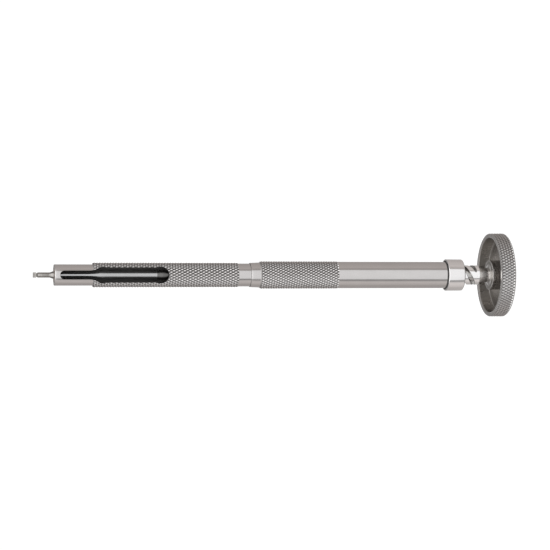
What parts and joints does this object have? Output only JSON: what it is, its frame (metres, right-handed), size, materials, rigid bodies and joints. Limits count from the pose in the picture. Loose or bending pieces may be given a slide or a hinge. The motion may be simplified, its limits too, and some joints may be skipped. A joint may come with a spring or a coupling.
{
  "type": "watchmaker screwdriver",
  "caption": "Slim push-type screwdriver: a cupped knob on a spiral rod spins a flat blade held in a knurled handle and a slotted front sleeve.",
  "frame": {"origin": "centre of the knob's flat rear face, on which the tool stands", "axes": "+Z along the tool's axis towards the blade tip, -Y out of the sleeve's window, +X along the blade's edge"},
  "size_m": [0.0254, 0.0254, 0.1441],
  "materials": {
    "satin_steel": "satin turned steel",
    "knurled_steel": "fine diamond knurl, satin",
    "cap_steel": "bright satin",
    "knob_steel": "satin, knurled rim",
    "spiral_steel": "ground and polished",
    "polished_steel": "polished hardened steel",
    "turned_steel": "turned",
    "pin_steel": "ground",
    "spring_steel": "drawn spring wire",
    "screw_steel": "blued grey steel",
    "nut_brass": "turned brass",
    "bush_bronze": "bearing bronze"
  },
  "bodies": {
    "handle": {"handle_body": "satin_steel", "end_cap": "cap_steel", "drive_nut": "nut_brass", "nut_key": "pin_steel", "rear_bearing": "bush_bronze", "thrust_washer": "bush_bronze", "front_bush": "bush_bronze", "front_sleeve": "knurled_steel", "nose_bush": "bush_bronze"},
    "spindle_group": {"drive_tube": "turned_steel", "tube_pin": "pin_steel", "spindle": "turned_steel", "blade_set_screw": "screw_steel", "spindle_clip": "spring_steel", "spring_seat": "turned_steel", "return_spring": "spring_steel", "blade_bit": "polished_steel"},
    "knob_group": {"knob": "knob_steel", "knob_screw": "screw_steel", "spiral_rod": "spiral_steel", "rod_pin": "pin_steel"}
  },
  "joints": [
    {"name": "blade_spin", "type": "hinge", "parent": "handle", "child": "spindle_group", "pos_m": [0, 0, 0], "axis": [0, 0, 1], "range_deg": [0, 320]},
    {"name": "knob_push", "type": "slide", "parent": "spindle_group", "child": "knob_group", "axis": [0, 0, 1], "range_m": [0, 0.0085], "stiffness_N_per_m": 180, "springref_m": -0.008, "deforming": ["return_spring"]}
  ],
  "couplings": [
    {"joint": "blade_spin", "follows": "knob_push", "rad_per_m": 654.5}
  ]
}
